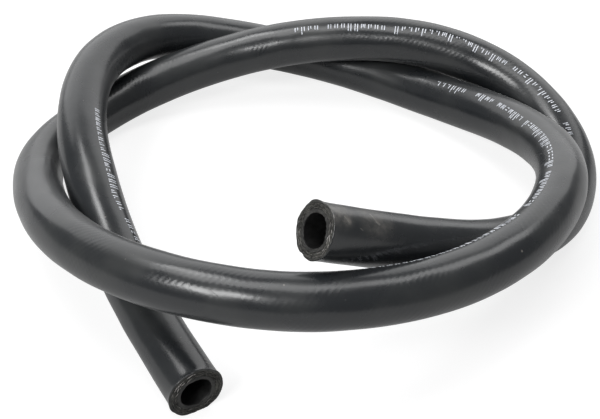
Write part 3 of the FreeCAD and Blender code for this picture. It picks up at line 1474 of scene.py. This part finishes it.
@dataclass
class YarnEnds:
    """The cut yarns of one braid at one end, standing round the end's face.

    `clean` is how clean they are, and `fray` how much more so about the angle `frayed_to`,
    in degrees from straight up, over `frayed_spread`. `stray` is how far one is out of its
    place, as a share of the way to the next, LEAST and MOST are what its size is multiplied
    by, and WILD is how far it turns, in radians.
    """

    LEAST: ClassVar[Place] = (0.5, 0.6, 0.5)
    MOST: ClassVar[Place] = (1.6, 1.3, 1.6)
    WILD: ClassVar[dict[Strand, float]] = {Strand.BUNDLE: 0.25, Strand.FILAMENT: 1.4}

    name: str
    layer: Layer
    end: HoseEnd
    strand: Strand
    radius: float
    count: int
    size: tuple[float, float, float]
    clean: float
    frayed_to: float = 0.0
    frayed_spread: float = 30.0
    fray: float = 0.0
    sunk: float = 0.05 * MM
    jitter: float = 0.08 * MM
    stray: float = 0.3
    seed: int = 3

    def points(self, form: HoseForm) -> bpy.types.Mesh:
        """Where the strands stand, with each one's ways out and round.

        Args:
            form: The hose's shape.

        Returns:
            One point for each strand.
        """
        line = form.line
        drawn = np.random.default_rng(self.seed)
        strays = drawn.uniform(-self.stray, self.stray, self.count)
        angles = (np.arange(self.count) + strays) * (math.tau / self.count)
        at_front = self.end is HoseEnd.FRONT
        lengths = np.full(self.count, 0.0 if at_front else line.length)
        radii = self.radius + drawn.uniform(-self.jitter, self.jitter, self.count)
        places = form.place(lengths, radii, angles, -self.sunk)
        out = line.read(line.tangents, lengths) * (-1.0 if at_front else 1.0)
        round_way = line.read(line.lifts, lengths) * np.cos(angles)[:, None]
        round_way -= line.read(line.sides, lengths) * np.sin(angles)[:, None]
        mesh = bpy.data.meshes.new(self.name)
        mesh.from_pydata(places.tolist(), [], [])
        give_attribute(mesh, OUT, out)
        give_attribute(mesh, ROUND, round_way)
        frayed = Lump(self.frayed_to, self.frayed_spread, self.fray)
        tone = self.clean * drawn.uniform(0.3, 1.0, self.count) ** 3
        tone += frayed.at(angles - form.cuts[self.end].up) * drawn.uniform(0.1, 1.0, self.count)
        give_attribute(mesh, TONE, np.clip(tone, 0.0, 1.0))
        return mesh

    def shape(self, graph: GeometryGraph) -> Socket:
        """One strand about the origin: X round the hose, Z out of the face.

        Args:
            graph: The nodes.

        Returns:
            The strand's socket.
        """
        round_size, across, out = (graph.given[key] for key in ("Round", "Across", "Out"))
        if self.strand is Strand.BUNDLE:
            ball = graph.add("GeometryNodeMeshIcoSphere", {"Radius": 1.0, "Subdivisions": 2})
            size = graph.combine(round_size, across, out)
            inputs = {"Geometry": ball.outputs["Mesh"], "Scale": size}
            return graph.add("GeometryNodeTransform", inputs).outputs[0]
        tip = graph.combine(round_size, 0.0, out)
        bend = graph.vector("MULTIPLY", tip, (0.1, 0.0, 0.8))
        fibre = graph.add("GeometryNodeCurveQuadraticBezier", {
            "Resolution": 6, "Start": (0.0, 0.0, 0.0), "Middle": bend, "End": tip,
        })
        circle = graph.add("GeometryNodeCurvePrimitiveCircle", {"Resolution": 6, "Radius": across})
        tube = graph.add("GeometryNodeCurveToMesh", {
            "Curve": fibre.outputs[0], "Profile Curve": circle.outputs[0], "Fill Caps": True,
        })
        return tube.outputs[0]

    def build(self, form: HoseForm, finish: bpy.types.Material) -> bpy.types.Object:
        """Make the strands.

        Args:
            form: The hose's shape.
            finish: The yarn's finish.

        Returns:
            The piece.
        """
        round_size, across, out = self.size
        graph = GeometryGraph(self.name, {
            "Round": round_size, "Across": across, "Out": out, "Seed": self.seed,
        })
        turn = graph.add("FunctionNodeAxesToRotation", {
            "Primary Axis": graph.attribute(OUT, "FLOAT_VECTOR"),
            "Secondary Axis": graph.attribute(ROUND, "FLOAT_VECTOR"),
        }, primary_axis="Z", secondary_axis="X").outputs[0]
        wild = self.WILD[self.strand]
        most = (0.2 * wild, wild, wild)
        spin = graph.random(tuple(-angle for angle in most), most, 1, "FLOAT_VECTOR")
        euler = graph.add("FunctionNodeEulerToRotation", {0: spin}).outputs[0]
        turned = graph.add("FunctionNodeRotateRotation",
                           {"Rotation": turn, "Rotate By": euler}, rotation_space="LOCAL")
        size = graph.random(self.LEAST, self.MOST, 2, "FLOAT_VECTOR")
        strands = graph.add("GeometryNodeInstanceOnPoints", {
            "Points": graph.given["Geometry"], "Instance": self.shape(graph),
            "Rotation": turned.outputs[0], "Scale": size,
        }).outputs[0]
        graph.finish(strands, finish)
        return graph.run(self.name, self.points(form))


# The whole hose


@dataclass
class Hose:
    """The hose: its five layers, its cut ends and its printed line."""

    pieces: list[bpy.types.Object] = field(default_factory=list)

    def build(self) -> None:
        """Make every piece and bind it to the frame."""
        line = CentreLine(HoseRoute().smooth_line())
        LOG.info("centre line: %.4f m", line.length)
        cuts = {
            HoseEnd.FRONT: CutEnd(
                21, 0.42 * MM, 0.09 * MM, 0.08 * MM, 0.85 * MM, lean=160.0,
                square=0.08 * MM, corner=55.0,
                lumps=(Lump(62.0, 16.0, 0.20 * MM), Lump(46.0, 5.0, -0.16 * MM),
                       Lump(-126.0, 4.0, -0.16 * MM), Lump(-8.0, 2.5, -0.25 * MM)),
            ),
            HoseEnd.COIL: CutEnd(
                34, 0.10 * MM, 0.13 * MM, 0.11 * MM, 0.15 * MM, lean=40.0,
                square=0.10 * MM, corner=-12.0, mouth=0.24 * MM,
                lumps=(Lump(36.0, 20.0, 0.50 * MM), Lump(14.0, 5.0, -0.30 * MM),
                       Lump(178.0, 8.0, -0.45 * MM), Lump(-150.0, 12.0, 0.20 * MM)),
            ),
        }
        form = HoseForm(line, cuts)
        layers = self.build_layers(form)
        cover = layers[Layer.COVER]
        ink = PrintLine().build(line, cover, InkFinish().build())
        yarns = self.build_yarns(form)
        self.pieces = [*layers.values(), ink, *yarns]
        for piece in self.pieces:
            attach(piece, BODY)
        for layer, piece in layers.items():
            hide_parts(layer.value)

    def build_layers(self, form: HoseForm) -> dict[Layer, bpy.types.Object]:
        """Make the five layers of the wall.

        Args:
            form: The hose's shape.

        Returns:
            The pieces, by layer.
        """
        cut_cover = RubberFinish("cut_cover", (0.012, 0.012, 0.011), (0.068, 0.068, 0.062),
                                 0.62, 0.30 * MM, 0.08 * MM, arcs=4.0).build()
        # Painted shade: the bore's rubber is coloured near-black, darker than the same rubber's cut
        # face, which darkens the inside of the bore.
        tube = RubberFinish("bore_rubber_painted_shade", (0.003, 0.003, 0.003), (0.010, 0.010, 0.010),
                            0.55, 0.9 * MM, 0.03 * MM).build()
        cut_tube = RubberFinish("cut_tube", (0.016, 0.016, 0.015), (0.060, 0.059, 0.055),
                                0.66, 0.34 * MM, 0.07 * MM, arcs=3.0).build()
        tie = RubberFinish("tie_rubber", (0.010, 0.010, 0.009), (0.050, 0.050, 0.045),
                           0.66, 0.30 * MM, 0.06 * MM, arcs=4.0).build()
        # The braid's cut face has painted shade in the hollows between its threads.
        ground = RubberFinish("braid_ground", (0.006, 0.006, 0.005), (0.130, 0.127, 0.112),
                              0.74, 0.20 * MM, 0.12 * MM, arcs=5.0, pit_shade=0.9).build()
        skin = CoverFinish().build()
        thin = {"sides": 128, "step": 8.0 * MM, "inner_step": 8.0 * MM}
        braid = {**thin, "sunk": 0.16 * MM, "roughness": 0.07 * MM, "face_rings": 7}
        made = {}
        for layer in (
            WallLayer(Layer.INNER_TUBE, BORE_RADIUS, 5.93 * MM, tube, cut_tube,
                      sides=96, step=6.0 * MM, inner_step=6.0 * MM, edge=0.14 * MM,
                      roughness=0.035 * MM, face_rings=8, seed=41),
            WallLayer(Layer.INNER_BRAID, 5.95 * MM, 6.53 * MM, ground, ground, seed=42, **braid),
            WallLayer(Layer.TIE_LAYER, 6.55 * MM, 6.83 * MM, tie, tie,
                      roughness=0.05 * MM, seed=43, **thin),
            WallLayer(Layer.OUTER_BRAID, 6.85 * MM, 7.43 * MM, ground, ground, seed=44, **braid),
            WallLayer(Layer.COVER, 7.45 * MM, OUTER_RADIUS, skin, cut_cover,
                      sides=96, step=1.6 * MM, fine_step=0.3 * MM, inner_step=6.0 * MM,
                      edge=0.16 * MM, roughness=0.06 * MM, face_rings=6, seed=45),
        ):
            made[layer.layer] = layer.build(form)
        return made

    def build_yarns(self, form: HoseForm) -> list[bpy.types.Object]:
        """Make the yarn ends of both braids at both ends.

        Args:
            form: The hose's shape.

        Returns:
            The pieces.
        """
        finish = YarnFinish().build()
        frayed = {HoseEnd.FRONT: -34.0, HoseEnd.COIL: -84.0}
        bundle = (0.85 * MM, 0.065 * MM, 0.12 * MM)
        thread = (0.22 * MM, 0.030 * MM, 0.42 * MM)
        made = []
        for end in HoseEnd:
            for layer, radius, count, seed in (
                (Layer.INNER_BRAID, 6.25 * MM, 20, 3), (Layer.OUTER_BRAID, 7.15 * MM, 24, 8),
            ):
                made.append(YarnEnds(
                    f"{layer.value}_yarns_{end.value}", layer, end, Strand.BUNDLE, radius,
                    count, bundle, 0.30, frayed_to=frayed[end], fray=1.9, jitter=0.16 * MM,
                    seed=seed + len(made),
                ))
            made.append(YarnEnds(
                f"loose_threads_{end.value}", Layer.OUTER_BRAID, end, Strand.FILAMENT, 6.8 * MM,
                30, thread, 0.25, frayed_to=frayed[end], fray=1.2, jitter=0.6 * MM,
                seed=50 + len(made),
            ))
        pieces = [yarns.build(form, finish) for yarns in made]
        return pieces


# The studio


@dataclass(frozen=True)
class Lamp:
    """A soft rectangular lamp that looks at a point."""

    name: str
    place: Place
    target: Place
    size: tuple[float, float]
    radiance: float

    def build(self) -> None:
        """Hang the lamp."""
        data = bpy.data.lights.new(self.name, "AREA")
        data.shape = "RECTANGLE"
        data.size, data.size_y = self.size
        data.energy = self.radiance * math.pi * self.size[0] * self.size[1]
        lamp = bpy.data.objects.new(self.name, data)
        bpy.context.scene.collection.objects.link(lamp)
        lamp.location = self.place
        way = Vector(self.target) - Vector(self.place)
        lamp.rotation_euler = way.to_track_quat("-Z", "Y").to_euler()
        lamp.visible_camera = False


@dataclass
class Studio:
    """The white table, the soft lamps and the camera.

    The lens and the sensor are in millimetres, the camera's tilt in degrees from straight
    down.
    """

    table_size: float = 8.0
    lens: float = 75.42
    sensor: float = 36.0
    clip: tuple[float, float] = (0.01, 50.0)
    camera_place: Place = (-0.0030, -0.33795, 0.27254)
    camera_tilt: float = 51.015
    world: Colour = (0.17, 0.174, 0.18)
    lamps: tuple[Lamp, ...] = (
        Lamp("overhead_left", (-0.27, 0.10, 1.10), (-0.08, 0.0, 0.0), (0.50, 0.95), 2.9),
        Lamp("overhead_right", (0.56, 0.38, 1.10), (0.0, 0.0, 0.0), (0.42, 0.90), 2.7),
        Lamp("behind", (-0.10, 1.25, 0.60), (0.0, 0.0, 0.0), (2.7, 1.15), 1.15),
        Lamp("key", (-0.53, -0.64, 0.72), (-0.03, -0.05, 0.03), (0.52, 0.30), 12.0),
        Lamp("rear_left", (-0.40, 0.42, 1.00), (-0.02, -0.04, 0.03), (0.24, 0.26), 5.7),
    )

    def build(self) -> None:
        """Set up the table, the world, the lamps and the camera."""
        self.build_table()
        self.build_world()
        for lamp in self.lamps:
            lamp.build()
        self.build_camera()

    def build_table(self) -> None:
        """Lay the white table under the hose."""
        half = self.table_size / 2
        corners = [(-half, -half, 0.0), (half, -half, 0.0), (half, half, 0.0), (-half, half, 0.0)]
        mesh = bpy.data.meshes.new("table")
        mesh.from_pydata(corners, [], [(0, 1, 2, 3)])
        table = make_object("table", mesh)
        mesh.materials.append(TableFinish().build())

    def build_world(self) -> None:
        """Light all round, and white where the camera sees past the table."""
        world = bpy.data.worlds.new("studio")
        bpy.context.scene.world = world
        world.use_nodes = True
        world.node_tree.nodes.clear()
        graph = NodeGraph(world.node_tree)
        camera = graph.add("ShaderNodeLightPath").outputs["Is Camera Ray"]
        room = graph.add("ShaderNodeBackground", {"Color": self.world})
        white = graph.add("ShaderNodeBackground", {"Color": WHITE})
        both = graph.add("ShaderNodeMixShader",
                         {0: camera, 1: room.outputs[0], 2: white.outputs[0]})
        graph.add("ShaderNodeOutputWorld", {"Surface": both.outputs[0]})

    def build_camera(self) -> None:
        """Put the camera where the photograph was taken from."""
        data = bpy.data.cameras.new("camera")
        data.sensor_width = self.sensor
        data.sensor_fit = "HORIZONTAL"
        data.lens = self.lens
        data.clip_start, data.clip_end = self.clip
        camera = bpy.data.objects.new("camera", data)
        bpy.context.scene.collection.objects.link(camera)
        camera.location = self.camera_place
        camera.rotation_euler = Euler((math.radians(self.camera_tilt), 0.0, 0.0))
        bpy.context.scene.camera = camera


def main() -> None:
    """Build the hose and the studio."""
    logging.basicConfig(level=logging.INFO, format="%(name)s: %(message)s")
    hose = Hose()
    hose.build()
    Studio().build()
    bpy.context.scene.view_settings.view_transform = "Standard"
    for piece in hose.pieces:
        LOG.info("piece %s", piece.name)


if __name__ == "__main__":
    main()
